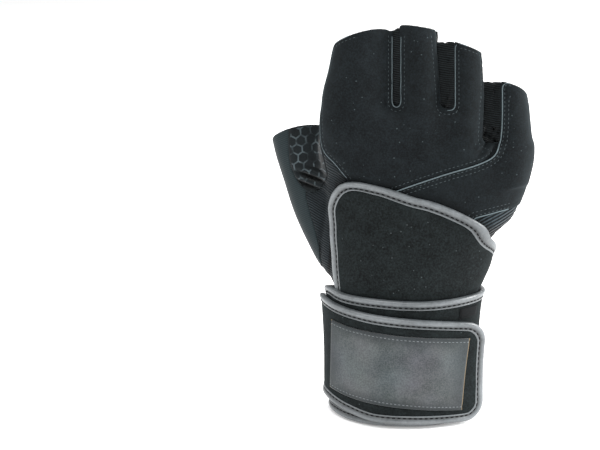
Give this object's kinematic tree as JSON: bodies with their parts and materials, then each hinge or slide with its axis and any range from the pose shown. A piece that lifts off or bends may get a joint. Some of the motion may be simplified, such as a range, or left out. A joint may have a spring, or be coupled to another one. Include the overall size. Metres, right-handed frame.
{
  "type": "weightlifting glove",
  "caption": "Fingerless weightlifting glove for the right hand, with a suede grip palm and a long bound wrist strap wound round the wrist, in its worn form.",
  "frame": {"origin": "middle of the wrist opening, level with the lowest edge of the strap, where a wrist holds the glove", "axes": "+Z along the fingers, +Y the way the palm faces, +X towards the little finger"},
  "size_m": [0.1208, 0.0575, 0.1886],
  "materials": {
    "back_cloth": "matte suede-faced neoprene",
    "palm_suede": "suede with a printed hexagon grip",
    "stretch_cloth": "ribbed stretch knit",
    "thumb_grip": "cloth with a printed hexagon grip",
    "smooth_cloth": "smooth matte cloth",
    "hem_knit": "fine knit",
    "strap_cloth": "matte loop-faced neoprene",
    "binding_tape": "satin grained tape",
    "patch_cloth": "faintly glossy patch"
  },
  "bodies": {
    "root": {"back_panel": "back_cloth", "side_panel": "back_cloth", "palm_panel": "palm_suede", "thumb_base_panel": "palm_suede", "index_side_strip": "stretch_cloth", "fourchette_index_middle": "stretch_cloth", "fourchette_middle_ring": "stretch_cloth", "fourchette_ring_little": "stretch_cloth", "side_gusset": "stretch_cloth", "thumb_gusset": "stretch_cloth", "thumb_grip_patch": "thumb_grip", "thumb_outer_strip": "smooth_cloth", "hem_index": "hem_knit", "hem_middle": "hem_knit", "hem_ring": "hem_knit", "hem_little": "hem_knit", "hem_thumb": "hem_knit", "wrist_strap": "strap_cloth", "closure_pad": "strap_cloth", "strap_binding": "binding_tape", "label_patch": "patch_cloth"}
  },
  "joints": []
}
